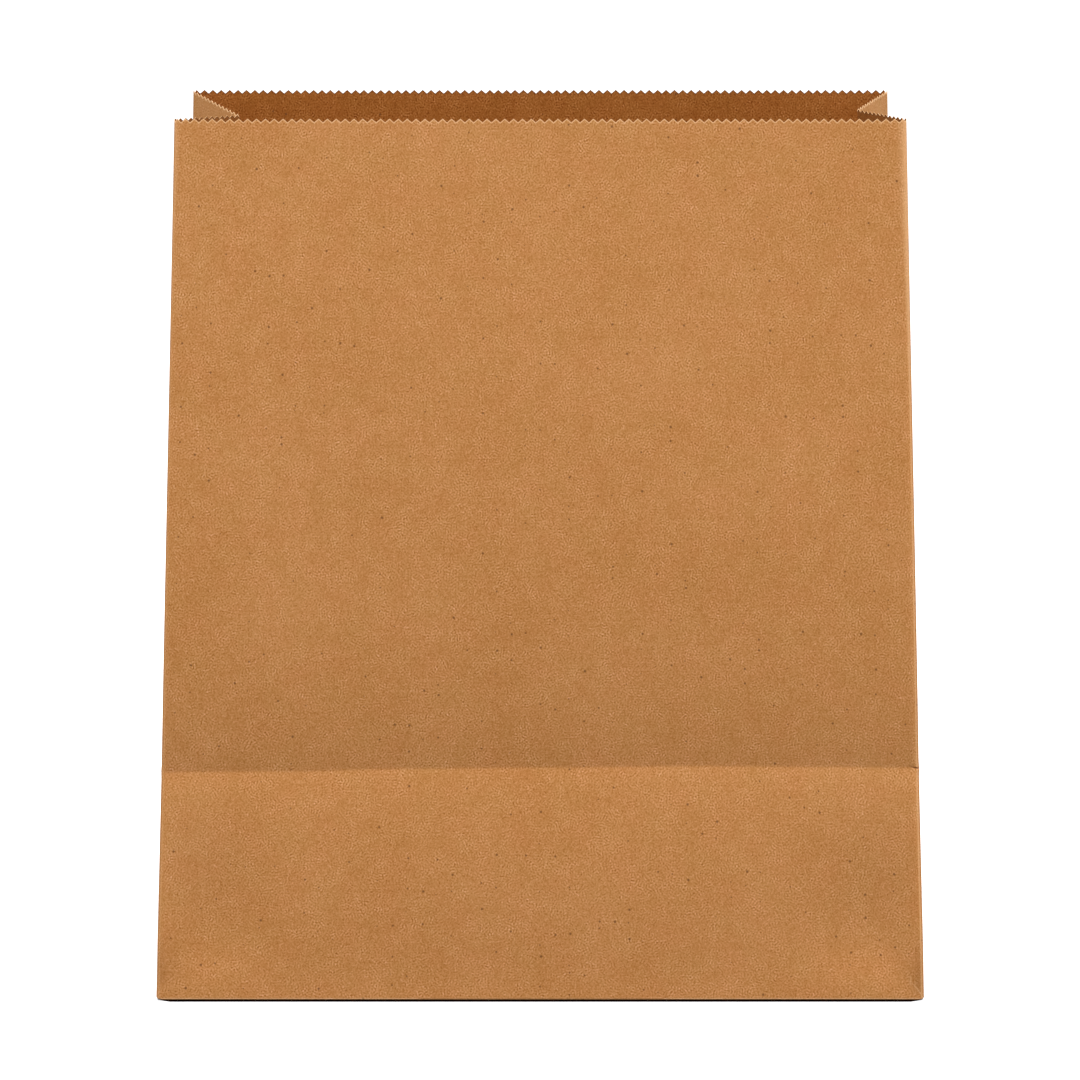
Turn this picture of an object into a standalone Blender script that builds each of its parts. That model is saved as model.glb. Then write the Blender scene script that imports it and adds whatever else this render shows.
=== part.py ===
"""A brown kraft paper lunch bag, opened and standing on its block bottom.

The real bag is one sheet: a tube with a pleated gusset at each side, closed by a glued lap seam
down its back, whose lower end is folded in and glued flat. So it is one solid here too. The outer
face of the sheet is drawn as one folded surface, Solidify gives it the paper's thickness, and
Booleans add the plies that are glued on at the bottom and at the seam.

Frame: metres, +Z up, +X to the right and +Y to the back, with the origin at the middle of the base.
"""

import math

import bmesh
import bpy
from mathutils import Vector

# Block bottom, the tube that stands on it, and its paper
BASE_WIDTH = 0.305
BASE_DEPTH = 0.184
PANEL_LENGTH = 0.349
PAPER = 0.00018
CORNER_RADIUS = 0.0016

# How the opened bag stands: its mouth draws in, and its front panel leans back above a crease
MOUTH_WIDTH = 0.288
MOUTH_SET_BACK = 0.019
CREASE_SET_BACK = 0.0078
SLOPE_ABOVE_CREASE = 0.17
SLOPE_BELOW_CREASE = 0.16
BEND_ABOVE_CREASE = 0.064
BEND_BELOW_CREASE = 0.018

# The middle folds of the gussets, which tuck in and dip as they rise to the mouth
TUCK_AT_APEX = 0.002
TUCK_LEFT = 0.023
TUCK_RIGHT = 0.0165
DIP_LEFT = 0.0045
DIP_RIGHT = 0.0022

# Zigzag of the serrated knife that cuts both ends of the tube
TOOTH_PITCH = 0.003675
TOOTH_DEPTH = 0.0017

# Laps glued at the seam and at the bottom
SEAM_LAP = 0.022
SEAM_CENTRE = 0.0
SEAM_STEP = 0.9
BOTTOM_LAP = 0.026
FLAP_GROOVE = 0.0003
FLAP_JOGGLE = 0.001
FOLD_SET_IN = 0.0006
KNIFE_SLIP = 0.0001

# Rows and columns of the folded surface
PANEL_CELLS = 16
GUSSET_CELLS = 5
ROWS_ABOVE_CREASE = (0.07, 0.16, 0.29, 0.46, 0.70)
TOOTH_BAND = 0.009
CUTTER_REACH = 0.002

HALF_DEPTH = BASE_DEPTH / 2
CREASE_HEIGHT = HALF_DEPTH
FLAP_LENGTH = HALF_DEPTH + BOTTOM_LAP / 2
BAND_START = PANEL_LENGTH - TOOTH_DEPTH - TOOTH_BAND

# Panels in order round the bag: name, corner where it starts, corner where it ends
PANELS = (
    ("front", "front_left", "front_right"),
    ("gusset", "front_right", "middle_right"),
    ("gusset", "middle_right", "back_right"),
    ("back", "back_right", "back_left"),
    ("gusset", "back_left", "middle_left"),
    ("gusset", "middle_left", "front_left"),
)


def clear_scene():
    for old in list(bpy.data.objects):
        bpy.data.objects.remove(old, do_unlink=True)


def mix(start, end, share):
    return start + (end - start) * share


def set_back(height):
    """How far behind the base's front edge the front panel is, at this height along the paper.

    The panel's slope settles exponentially on each side of the crease, and the two steady slopes
    are the ones that bring the crease and the mouth to their set-backs.
    """
    if height <= CREASE_HEIGHT:
        bend = SLOPE_BELOW_CREASE * BEND_BELOW_CREASE
        whole = bend * (1 - math.exp(-CREASE_HEIGHT / BEND_BELOW_CREASE))
        steady = (CREASE_SET_BACK - whole) / CREASE_HEIGHT
        start = math.exp(-CREASE_HEIGHT / BEND_BELOW_CREASE)
        return steady * height + bend * (math.exp((height - CREASE_HEIGHT) / BEND_BELOW_CREASE) - start)
    above = height - CREASE_HEIGHT
    full = PANEL_LENGTH - CREASE_HEIGHT
    bend = SLOPE_ABOVE_CREASE * BEND_ABOVE_CREASE
    whole = bend * (1 - math.exp(-full / BEND_ABOVE_CREASE))
    steady = (MOUTH_SET_BACK - CREASE_SET_BACK + whole) / full
    return CREASE_SET_BACK + steady * above - bend * (1 - math.exp(-above / BEND_ABOVE_CREASE))


def row_heights():
    """Heights along the paper: level with the diagonal folds' cells below the crease, then wider."""
    below = [CREASE_HEIGHT * row / GUSSET_CELLS for row in range(GUSSET_CELLS + 1)]
    above = [mix(CREASE_HEIGHT, BAND_START, share) for share in ROWS_ABOVE_CREASE]
    return below + above + [BAND_START]


ROWS = row_heights()


def front_line(height):
    """(y, z) of the front panel at this height along the paper, whose length the lean keeps."""
    y = 0.0
    z = 0.0
    last = 0.0
    for row in [row for row in ROWS if row < height] + [height]:
        step = set_back(row) - y
        z += math.sqrt((row - last) ** 2 - step**2)
        y += step
        last = row
    return y - HALF_DEPTH, z


def corner(name, height):
    """The sharp corner of the bag's section at this height. The middle folds aren't tucked in here."""
    half_width = mix(BASE_WIDTH, MOUTH_WIDTH, height / PANEL_LENGTH) / 2
    x = half_width if name.endswith("right") else -half_width
    front_y, front_z = front_line(height)
    if name.startswith("front"):
        return Vector((x, front_y, front_z))
    if name.startswith("back"):
        return Vector((x, HALF_DEPTH, height))
    rise = max(height - CREASE_HEIGHT, 0) / (PANEL_LENGTH - CREASE_HEIGHT)
    dip = DIP_RIGHT if x > 0 else DIP_LEFT
    return Vector((x, (front_y + HALF_DEPTH) / 2, (front_z + height) / 2 - dip * rise))


def tuck(name, height):
    """How far in the middle fold of this side is, which grows from the apex up to the mouth."""
    rise = max(height - CREASE_HEIGHT, 0) / (PANEL_LENGTH - CREASE_HEIGHT)
    return mix(TUCK_AT_APEX, TUCK_RIGHT if name.endswith("right") else TUCK_LEFT, rise)


def flat_point(panel, share, height):
    """A point of a panel before its corners are rounded.

    Below the crease a gusset has three facets, which meet along the diagonal folds from the
    bottom corners to the apex. Above it, it has two, which meet along the middle fold.
    """
    kind, start, end = panel
    point = corner(start, height).lerp(corner(end, height), share)
    if kind == "gusset":
        from_corner = share if end.startswith("middle") else 1 - share
        inward = tuck(end, height) * min(from_corner, height / CREASE_HEIGHT)
        point.x -= math.copysign(inward, point.x)
    return point


def panel_width(kind):
    return {"front": BASE_WIDTH, "back": BASE_WIDTH, "gusset": HALF_DEPTH}[kind]


def sheet_point(number, share, height):
    """A point of the outer face. A corner's own point is pulled in to the middle of its arc."""
    panel = PANELS[number]
    point = flat_point(panel, share, height)
    if share > 0 or panel[1].startswith("middle"):
        return point
    before = PANELS[number - 1]
    along = flat_point(panel, CORNER_RADIUS / panel_width(panel[0]), height)
    behind = flat_point(before, 1 - CORNER_RADIUS / panel_width(before[0]), height)
    pull = 1 - math.sqrt(0.5)
    return point + (along + behind - 2 * point) * pull


def tooth_count(width):
    return round(width / TOOTH_PITCH)


def tooth_height(share, teeth):
    """Height of the cut edge, a zigzag with a valley at each end of the panel."""
    return PANEL_LENGTH - TOOTH_DEPTH * abs(1 - (share * 2 * teeth) % 2)


def panel_columns(panel):
    """Shares of the panel's width: cell edges at whole half teeth, and the ends of the round corners."""
    kind, start, end = panel
    halves = 2 * tooth_count(panel_width(kind))
    cells = GUSSET_CELLS if kind == "gusset" else PANEL_CELLS
    shares = [round(cell * halves / cells) / halves for cell in range(cells)]
    arc = CORNER_RADIUS / panel_width(kind)
    if not start.startswith("middle"):
        shares.insert(1, arc)
    if not end.startswith("middle"):
        shares.append(1 - arc)
    return shares


def teeth_between(start, end, teeth):
    """Shares of the zigzag's own corners that lie between two columns."""
    found = [half / (2 * teeth) for half in range(2 * teeth + 1)]
    return [share for share in found if start + 1e-6 < share < end - 1e-6]


def add_tooth_cell(bm, low_pair, high_pair, tips):
    """One face from a cell's two lower points up to the zigzag between its two upper ones."""
    inner = [bm.verts.new(tip) for tip in tips]
    bm.faces.new([low_pair[0], low_pair[1], high_pair[1], *reversed(inner), high_pair[0]])


def sheet_mesh():
    """The outer face of the bag: walls row by row, the zigzag band, and the bottom."""
    bm = bmesh.new()
    columns = [(number, share) for number, panel in enumerate(PANELS) for share in panel_columns(panel)]
    rows = [[bm.verts.new(sheet_point(*column, height)) for column in columns] for height in ROWS]
    following = columns[1:] + columns[:1]
    for low, high, height in zip(rows, rows[1:], ROWS):
        for here, (number, _) in enumerate(columns):
            there = (here + 1) % len(columns)
            kind, start, _ = PANELS[number]
            if kind != "gusset" or height >= CREASE_HEIGHT:
                bm.faces.new([low[here], low[there], high[there], high[here]])
            elif start.startswith("middle"):
                bm.faces.new([low[here], low[there], high[here]])
                bm.faces.new([low[there], high[there], high[here]])
            else:
                bm.faces.new([low[here], low[there], high[there]])
                bm.faces.new([low[here], high[there], high[here]])
    top = []
    for number, share in columns:
        teeth = tooth_count(panel_width(PANELS[number][0]))
        top.append(bm.verts.new(sheet_point(number, share, tooth_height(share, teeth))))
    for here, (number, share) in enumerate(columns):
        there = (here + 1) % len(columns)
        end = following[here][1] or 1.0
        teeth = tooth_count(panel_width(PANELS[number][0]))
        shares = teeth_between(share, end, teeth)
        tips = [sheet_point(number, tip, tooth_height(tip, teeth)) for tip in shares]
        add_tooth_cell(bm, (rows[-1][here], rows[-1][there]), (top[here], top[there]), tips)
    bm.faces.new(list(reversed(rows[0])))
    return bm


def seam_mesh():
    """The lap seam: two plies whose faces slant a little, so that each ply's edge makes one step.

    The outer ply's edge stands proud at the left of the lap, and the inner ply's at its right.
    """
    bm = bmesh.new()
    back = PANELS[3]
    teeth = tooth_count(BASE_WIDTH)
    shares = [0.5 - (SEAM_CENTRE + side * SEAM_LAP / 2) / BASE_WIDTH for side in (1, -1)]

    def seam_point(share, height):
        across = (share - shares[0]) / (shares[1] - shares[0])
        point = flat_point(back, share, height)
        point.y += PAPER * mix(1 - SEAM_STEP, SEAM_STEP, across)
        return point

    heights = [PAPER / 2] + ROWS[1:]
    rows = [[bm.verts.new(seam_point(share, height)) for share in shares] for height in heights]
    for low, high in zip(rows, rows[1:]):
        bm.faces.new([low[0], low[1], high[1], high[0]])
    edge = [shares[0], *teeth_between(*shares, teeth), shares[1]]
    tips = [seam_point(share, tooth_height(share, teeth) - KNIFE_SLIP) for share in edge]
    ends = [bm.verts.new(tip) for tip in (tips[0], tips[-1])]
    add_tooth_cell(bm, rows[-1], ends, tips[1:-1])
    return bm


def zigzag(start, end, depth):
    """Points of a cut edge from start to end, with its teeth standing out by depth (a vector)."""
    teeth = tooth_count((end - start).length)
    steps = range(2 * teeth + 1)
    return [start.lerp(end, step / (2 * teeth)) + depth * (step % 2) for step in steps]


def prism_mesh(outline, low, high):
    bm = bmesh.new()
    face = bm.faces.new([bm.verts.new((point.x, point.y, low)) for point in outline])
    bm.normal_update()
    if face.normal.z > 0:
        face.normal_flip()
    raised = bmesh.ops.extrude_face_region(bm, geom=[face], use_keep_orig=True)
    moved = [item for item in raised["geom"] if isinstance(item, bmesh.types.BMVert)]
    bmesh.ops.translate(bm, verts=moved, vec=(0, 0, high - low))
    bmesh.ops.recalc_face_normals(bm, faces=bm.faces)
    return bm


def side_flap_mesh(side):
    """A side flap and the two triangles folded under it, as one stack three plies thick."""
    wall_x = BASE_WIDTH / 2 - PAPER / 2
    wall_y = HALF_DEPTH - PAPER / 2
    free_x = BASE_WIDTH / 2 - FLAP_LENGTH + TOOTH_DEPTH
    edge = zigzag(Vector((free_x, -wall_y)), Vector((free_x, wall_y)), Vector((-TOOTH_DEPTH, 0)))
    round_off = [(wall_x - CORNER_RADIUS, wall_y), (wall_x, wall_y - CORNER_RADIUS)]
    far = [Vector(point) for point in round_off] + [Vector((x, -y)) for x, y in reversed(round_off)]
    outline = [Vector((side * point.x, point.y)) for point in edge + far]
    return prism_mesh(outline, PAPER / 2, 3 * PAPER)


def side_recess_mesh(side):
    """What is cut from below beside the diagonal folds, where a side flap is only one ply."""
    apex = BASE_WIDTH / 2 - HALF_DEPTH + FOLD_SET_IN
    reach = BASE_WIDTH / 2 + CUTTER_REACH
    spread = reach - apex
    outline = [Vector((side * x, y)) for x, y in ((apex, 0), (reach, -spread), (reach, spread))]
    return prism_mesh(outline, -CUTTER_REACH, 2 * PAPER)


def front_flap_end_mesh():
    """The free end of the front flap, which lies on the back flap, inside the bag."""
    half = BASE_WIDTH / 2 - FLAP_LENGTH + 2 * TOOTH_DEPTH
    back_y = BOTTOM_LAP / 2 - TOOTH_DEPTH
    front_y = -BOTTOM_LAP / 2 - FLAP_JOGGLE
    edge = zigzag(Vector((half, back_y)), Vector((-half, back_y)), Vector((0, TOOTH_DEPTH)))
    outline = edge + [Vector((-half, front_y)), Vector((half, front_y))]
    return prism_mesh(outline, PAPER / 2, 2 * PAPER)


def back_flap_groove_mesh():
    """The fine line round the free end of the back flap, the outermost ply under the bag."""
    half = BASE_WIDTH / 2 - FLAP_LENGTH
    apex = BASE_WIDTH / 2 - HALF_DEPTH + FOLD_SET_IN
    free_y = -BOTTOM_LAP / 2 + TOOTH_DEPTH
    edge = zigzag(Vector((-half, free_y)), Vector((half, free_y)), Vector((0, -TOOTH_DEPTH)))
    line = [Vector((-apex, 0)), *edge, Vector((apex, 0))]
    front = [point - Vector((0, FLAP_GROOVE)) for point in reversed(line)]
    return prism_mesh(line + front, -CUTTER_REACH, PAPER)


def kraft_material():
    material = bpy.data.materials.new("kraft_paper")
    material.use_nodes = True
    shader = material.node_tree.nodes["Principled BSDF"]
    shader.inputs["Base Color"].default_value = (0.52, 0.26, 0.085, 1.0)
    shader.inputs["Roughness"].default_value = 0.85
    shader.inputs["Metallic"].default_value = 0.0
    return material


def add_object(name, bm, material):
    mesh = bpy.data.meshes.new(name)
    bm.to_mesh(mesh)
    bm.free()
    mesh.materials.append(material)
    obj = bpy.data.objects.new(name, mesh)
    bpy.context.scene.collection.objects.link(obj)
    return obj


def add_thickness(obj, thickness):
    """Solidify inwards from the drawn face, which stays the outer one."""
    solidify = obj.modifiers.new("paper", "SOLIDIFY")
    solidify.thickness = thickness
    solidify.offset = -1
    solidify.use_even_offset = True


def combine(bag, operation, helper):
    helper.hide_render = True
    helper.display_type = "WIRE"
    modifier = bag.modifiers.new(f"{operation.lower()}_{helper.name}", "BOOLEAN")
    modifier.operation = operation
    modifier.solver = "EXACT"
    modifier.object = helper


def build_bag():
    kraft = kraft_material()
    bag = add_object("paper_bag", sheet_mesh(), kraft)
    bag.data.shade_smooth()
    bag.data.set_sharp_from_angle(angle=math.radians(20))
    add_thickness(bag, PAPER)
    seam = add_object("lap_seam", seam_mesh(), kraft)
    add_thickness(seam, 2 * PAPER)
    combine(bag, "UNION", seam)
    combine(bag, "UNION", add_object("front_flap_end", front_flap_end_mesh(), kraft))
    for side, label in ((-1, "left"), (1, "right")):
        combine(bag, "UNION", add_object(f"side_flap_{label}", side_flap_mesh(side), kraft))
        combine(bag, "DIFFERENCE", add_object(f"side_recess_{label}", side_recess_mesh(side), kraft))
    combine(bag, "DIFFERENCE", add_object("back_flap_groove", back_flap_groove_mesh(), kraft))


clear_scene()
build_bag()
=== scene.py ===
"""An opened brown paper lunch bag on its block bottom, in a plain white studio.

The bag is one sheet of kraft paper. FoldedSheet gives every point of its outer face from two lengths
on the flat paper: the girth round the tube, and the length up it from the line where the bottom is
folded. The walls and the four bottom flaps are grids over those two lengths, and Solidify gives the
paper its thickness.
"""

import math

import bpy
import numpy as np
from bpy.props import FloatProperty, FloatVectorProperty, PointerProperty
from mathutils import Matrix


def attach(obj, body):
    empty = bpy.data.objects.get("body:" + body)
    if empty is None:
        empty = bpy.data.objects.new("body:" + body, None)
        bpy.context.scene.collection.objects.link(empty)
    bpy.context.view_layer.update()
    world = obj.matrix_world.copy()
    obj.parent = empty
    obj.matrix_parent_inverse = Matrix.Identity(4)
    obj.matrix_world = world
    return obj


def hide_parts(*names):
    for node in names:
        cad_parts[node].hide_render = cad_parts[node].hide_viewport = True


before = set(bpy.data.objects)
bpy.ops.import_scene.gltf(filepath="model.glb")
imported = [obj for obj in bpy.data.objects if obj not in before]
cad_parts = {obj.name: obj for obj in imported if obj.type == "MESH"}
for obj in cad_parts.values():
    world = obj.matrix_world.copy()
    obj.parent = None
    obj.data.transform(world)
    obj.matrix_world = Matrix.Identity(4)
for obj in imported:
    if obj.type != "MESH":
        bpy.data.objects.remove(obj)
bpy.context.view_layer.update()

bl_info = {
    "name": "Brown paper lunch bag",
    "version": (1, 0, 0),
    "blender": (4, 5, 0),
    "location": "3D View > Sidebar > Paper bag",
    "description": "Folds an opened block-bottom kraft paper bag and sets up a studio round it",
    "category": "Add Mesh",
}

# Corners of the tube in order round it: front left, front right, middle right, back right, back left,
# middle left. The panel with the same number starts there: front, two half gussets, back, two more.
CORNER_SIDE = np.array([-1.0, 1.0, 1.0, 1.0, -1.0, -1.0])
CORNER_BACKNESS = np.array([0.0, 0.0, 0.5, 1.0, 1.0, 0.5])
FRONT, RIGHT_FRONT, RIGHT_BACK, BACK, LEFT_BACK, LEFT_FRONT = range(6)

# Half teeth across a wide panel and across half a gusset, columns across half a gusset, and the depth
# of a gusset's teeth as a share of the others'
WIDE_HALF_TEETH = 166
GUSSET_HALF_TEETH = 26
GUSSET_COLUMNS = 52
GUSSET_TOOTH_SHARE = 0.7

# Distances from a fold, in metres, that get columns of their own
FOLD_COLUMNS = (0.0006, 0.0012, 0.0024, 0.0031)

# Rows up the walls, in metres of paper from the bottom fold; the crease has a row of its own
ROWS_AT_FOLD = (-0.0012, -0.0009, -0.0006, -0.0003, 0.0, 0.0003, 0.0006, 0.0009, 0.0013, 0.002)
ROWS_BELOW = (0.0035, 0.006, 0.009, 0.013, 0.018, 0.024, 0.031, 0.039, 0.048, 0.057, 0.066, 0.074, 0.08)
ROWS_NEAR_CREASE = (0.0075, 0.0048, 0.003, 0.0018, 0.001, 0.0005, 0.0002)
ROWS_ABOVE = (
    0.103, 0.108, 0.114, 0.121, 0.129, 0.138, 0.149, 0.161, 0.175, 0.19, 0.206, 0.223, 0.24, 0.257,
    0.274, 0.29, 0.305, 0.318, 0.329, 0.3375, 0.343,
)
CUT_BAND = (0.0, 0.35, 0.65, 0.86, 1.0)
FLAP_ROWS = (0.002, 0.0035, 0.006, 0.01, 0.018, 0.03, 0.045, 0.06, 0.0755, 0.0775, 0.0795, 0.09, 0.098)

SHARP_ANGLE = math.radians(50)


def mix(start, end, share):
    return start + (end - start) * share


def eased(share):
    """3 s^2 - 2 s^3, with s held between 0 and 1."""
    share = np.clip(share, 0.0, 1.0)
    return share * share * (3 - 2 * share)


def eased_through(value, points):
    """A smooth line through (place, height) points: an eased step from each to the next."""
    total = np.full(np.shape(value), points[0][1], float)
    for (here, low), (there, high) in zip(points, points[1:]):
        total = total + (high - low) * eased((value - here) / (there - here))
    return total


class FoldedSheet:
    """The bag's outer face as a function of girth and length on the flat paper."""

    def __init__(self, sizes):
        self.width = sizes.base_width
        self.half_depth = sizes.base_depth / 2
        self.length = sizes.panel_length
        self.crease = self.half_depth
        self.mouth_width = sizes.mouth_width
        self.paper = sizes.paper
        self.fold_round = sizes.fold_round
        self.tooth_depth = sizes.tooth_depth
        self.flap = self.half_depth + sizes.bottom_lap / 2
        self.lap = sizes.bottom_lap
        self.edge_lift = sizes.edge_lift
        self.mouth_set_back = sizes.mouth_set_back
        self.mouth_rise = sizes.mouth_rise
        self.crease_set_back = sizes.crease_set_back
        self.slope_above = sizes.slope_above_crease
        self.slope_below = sizes.slope_below_crease
        self.bend_above = 0.05
        self.bend_below = 0.018
        self.tucks = (sizes.tuck_left, sizes.tuck_right)
        self.tuck_at_apex = 0.002
        self.dips = (0.0045, 0.0022)
        half = self.half_depth
        self.panel_widths = np.array([self.width, half, half, self.width, half, half])
        self.panel_starts = np.concatenate([[0.0], np.cumsum(self.panel_widths)[:-1]])
        self.girth = float(self.panel_widths.sum())
        lengths = np.linspace(0, self.length * 1.02, 4000)
        rise = np.sqrt(np.diff(lengths) ** 2 - np.diff(self.set_back(lengths)) ** 2)
        self.table_length = lengths
        self.table_z = np.concatenate([[0.0], np.cumsum(rise)])

    def set_back(self, height):
        """How far behind the base's front edge the front panel is, at this height along the paper.

        The slope settles exponentially on each side of the crease, and the two steady slopes bring
        the crease and the mouth to their set-backs.
        """
        crease = self.crease
        bend = self.slope_below * self.bend_below
        start = math.exp(-crease / self.bend_below)
        steady = (self.crease_set_back - bend * (1 - start)) / crease
        low = np.minimum(height, crease)
        below = steady * low + bend * (np.exp((low - crease) / self.bend_below) - start)
        full = self.length - crease
        bend = self.slope_above * self.bend_above
        whole = bend * (1 - math.exp(-full / self.bend_above))
        steady = (self.mouth_set_back - self.crease_set_back + whole) / full
        high = np.maximum(height - crease, 0)
        above = steady * high - bend * (1 - np.exp(-high / self.bend_above))
        return below + above

    def place(self, girth):
        """The panel that a girth falls in, and its share of the panel's width."""
        girth = np.mod(girth, self.girth)
        panel = np.searchsorted(self.panel_starts, girth, side="right") - 1
        return panel, (girth - self.panel_starts[panel]) / self.panel_widths[panel]

    def towards_middle(self, panel, share):
        """0 on the front, the back and the block's corners, and 1 on a gusset's middle fold."""
        first_half = (panel == RIGHT_FRONT) | (panel == LEFT_BACK)
        second_half = (panel == RIGHT_BACK) | (panel == LEFT_FRONT)
        return np.where(first_half, share, 0.0) + np.where(second_half, 1 - share, 0.0)

    def sharp(self, girth, length):
        """The folded sheet with sharp folds.

        Between the tube's corners a point lies on the straight line from one to the next. A gusset
        is drawn in by its tuck times the smaller of the share towards its middle fold and the share
        of the crease's height, which gives it its two diagonal folds. Below the bottom fold the
        paper runs straight in under the bag.
        """
        panel, share = self.place(girth)
        up = np.maximum(length, 0)
        under = np.maximum(-length, 0)
        rise = np.maximum(up - self.crease, 0) / (self.length - self.crease)
        low = np.minimum(up / self.crease, 1)
        along = up / self.length
        half_width = mix(self.width, self.mouth_width, along) / 2 - EDGE_BOW * 4 * along * (1 - along)
        start, end = panel, (panel + 1) % 6
        side = mix(CORNER_SIDE[start], CORNER_SIDE[end], share)
        backness = mix(CORNER_BACKNESS[start], CORNER_BACKNESS[end], share)
        front_y = self.set_back(up) - self.half_depth
        front_z = np.interp(up, self.table_length, self.table_z)
        inner = self.towards_middle(panel, share)
        gusset = (panel != FRONT) & (panel != BACK)
        hand = np.sign(side)
        tuck = mix(self.tuck_at_apex, np.where(side > 0, self.tucks[1], self.tucks[0]), rise)
        dip = np.where(side > 0, self.dips[1], self.dips[0]) * rise * inner
        plies = 2 * self.paper * eased(inner * self.half_depth / 0.004)
        x = side * half_width - hand * tuck * np.minimum(inner, low)
        x = x - np.where(gusset, hand * under, 0)
        y = mix(front_y, self.half_depth, backness)
        y = y + np.where(panel == FRONT, under, 0) - np.where(panel == BACK, under, 0)
        z = mix(front_z, up + self.mouth_rise * rise, backness) - dip
        z = z + self.edge_lift + plies * (1 - low)
        return np.stack([x, y, z], axis=-1)

    def sag(self, x, y):
        """Height of the base: its rim stands off the floor, and its middle sags down to it."""
        inward = np.minimum(self.width / 2 - np.abs(x), self.half_depth - np.abs(y))
        return self.edge_lift * (1 - eased((inward - 0.0006) / 0.016))

    def rounded(self, girth, length):
        """The sheet with its folds bent round.

        Each point is the average of the sharp sheet over a small stretch to either side, along the
        girth and along the length, so two straight faces meet along a parabola.
        """
        to_middle = np.abs(np.stack([girth - self.panel_starts[2], girth - self.panel_starts[5]]))
        near = eased(to_middle.min(axis=0) / 0.02)
        reach = mix(MIDDLE_FOLD_ROUND, self.fold_round, near)
        total = 0.0
        across = np.linspace(-1, 1, 9)
        upward = np.linspace(-1, 1, 5)
        for step in across:
            for rise in upward:
                total = total + self.sharp(girth + step * reach, length + rise * BOTTOM_FOLD_ROUND)
        return total / (len(across) * len(upward))

    def relief(self, panel, share, length):
        """How far the paper stands out of its flat panel, as a sum of soft round swellings."""
        total = np.zeros(np.shape(length))
        for at_panel, at_share, at_length, wide, high, amount in SWELLINGS:
            across = (share - at_share) * self.panel_widths[panel] / wide
            along = (length - at_length) / high
            swelling = amount * np.exp(-(across**2) - along**2)
            total = total + np.where(panel == at_panel, swelling, 0)
        from_fold = np.minimum(share, 1 - share) * self.panel_widths[panel]
        return total * eased(from_fold / 0.006) * eased(length / 0.022)

    def corner_bulges(self, point):
        """The paper pushed forward above the front corners of the bottom, beyond a slanting line.

        The distance beyond the line has its corner rounded off as r ln(1 + e^(s / r)), and the paper
        comes forward as 1 - e^(-distance / 12 mm), fading with the height and away from the corner.
        """
        forward = 0.0
        for hand, inward, height, slant, amount in CORNER_BULGES:
            from_side = self.width / 2 - hand * point[..., 0]
            beyond = (inward - from_side) * math.cos(slant) + (point[..., 2] - height) * math.sin(slant)
            beyond = 0.0004 * np.logaddexp(0.0, beyond / 0.0004)
            near = np.exp(-((np.maximum(from_side, 0) / 0.012) ** 2))
            near = near * np.exp(-(((point[..., 1] + self.half_depth) / 0.012) ** 2))
            near = near * np.exp(-np.maximum(point[..., 2] - 0.024, 0) / 0.022)
            forward = forward + amount * (1 - np.exp(-beyond / 0.012)) * near
        moved = point.copy()
        moved[..., 1] -= forward
        return moved

    def point(self, girth, length):
        """The finished outer face: rounded folds, soft relief, the wandering crease and the dents."""
        point = self.rounded(girth, length)
        panel, share = self.place(girth)
        inner = self.towards_middle(panel, share)
        hand = np.sign(point[..., 0])
        relief = self.relief(panel, share, length)
        outward_y = np.where(panel == BACK, 1.0, 0.0) - np.where(panel == FRONT, 1.0, 0.0)
        outward_x = np.where((panel != BACK) & (panel != FRONT), hand, 0.0)
        point[..., 0] += relief * outward_x
        point[..., 1] += relief * outward_y
        on_front = (panel == FRONT) | (panel == RIGHT_FRONT) | (panel == LEFT_FRONT)
        from_corner = inner * self.half_depth
        fade = np.where(on_front, np.exp(-from_corner / 0.012), 0.0)
        near_crease = np.exp(-(((length - self.crease) / 0.03) ** 2))
        wander = eased_through(np.clip(point[..., 0], -0.152, 0.152), CREASE_WANDER)
        point[..., 2] += wander * near_crease * fade
        at_end = np.where(panel == FRONT, np.minimum(share, 1 - share) * self.width, from_corner)
        flare = np.exp(-(((length - self.crease) / 0.0022) ** 2)) * np.exp(-at_end / 0.004)
        point[..., 0] += np.where(on_front, hand * CREASE_FLARE * flare, 0.0)
        above = np.maximum(length - self.crease, 0)
        notch = eased(above / 0.0005) * (1 - eased((above - 0.0005) / 0.0005))
        notch = notch * np.exp(-((at_end / 0.0024) ** 2))
        point[..., 1] += np.where(on_front & (hand > 0), CREASE_NOTCH * notch, 0.0)
        return self.corner_bulges(point)

    def columns(self):
        """Girths of the columns: every half tooth, and more close to each upright fold."""
        found = []
        for number, start in enumerate(self.panel_starts):
            width = self.panel_widths[number]
            halves = WIDE_HALF_TEETH if number in (FRONT, BACK) else GUSSET_COLUMNS
            found.append(start + np.arange(halves) * width / halves)
            found.append(start + np.array(FOLD_COLUMNS))
            found.append(start + width - np.array(FOLD_COLUMNS))
        return np.unique(np.concatenate(found))

    def cut_length(self, girth):
        """Length of the cut at the mouth: a zigzag of half teeth, with a valley at each fold."""
        panel, share = self.place(girth)
        wide = (panel == FRONT) | (panel == BACK)
        halves = np.where(wide, WIDE_HALF_TEETH, GUSSET_HALF_TEETH)
        zigzag = np.abs(1 - np.mod(share * halves, 2))
        return self.length - self.tooth_depth * zigzag * np.where(wide, 1.0, GUSSET_TOOTH_SHARE)

    def lengths(self, girth, first=0):
        """Rows by columns of lengths, from the bottom fold up, blending into the zigzag at the top."""
        near = np.array(ROWS_NEAR_CREASE)
        crease_rows = np.concatenate([self.crease - near, [self.crease], self.crease + near[::-1]])
        low = np.concatenate([ROWS_AT_FOLD, ROWS_BELOW, crease_rows, ROWS_ABOVE])[first:]
        cut = self.cut_length(girth)
        start = self.length - 0.0045
        band = mix(start, cut[None, :], np.array(CUT_BAND)[:, None])
        return np.vstack([np.repeat(low[:, None], len(girth), axis=1), band])


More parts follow.
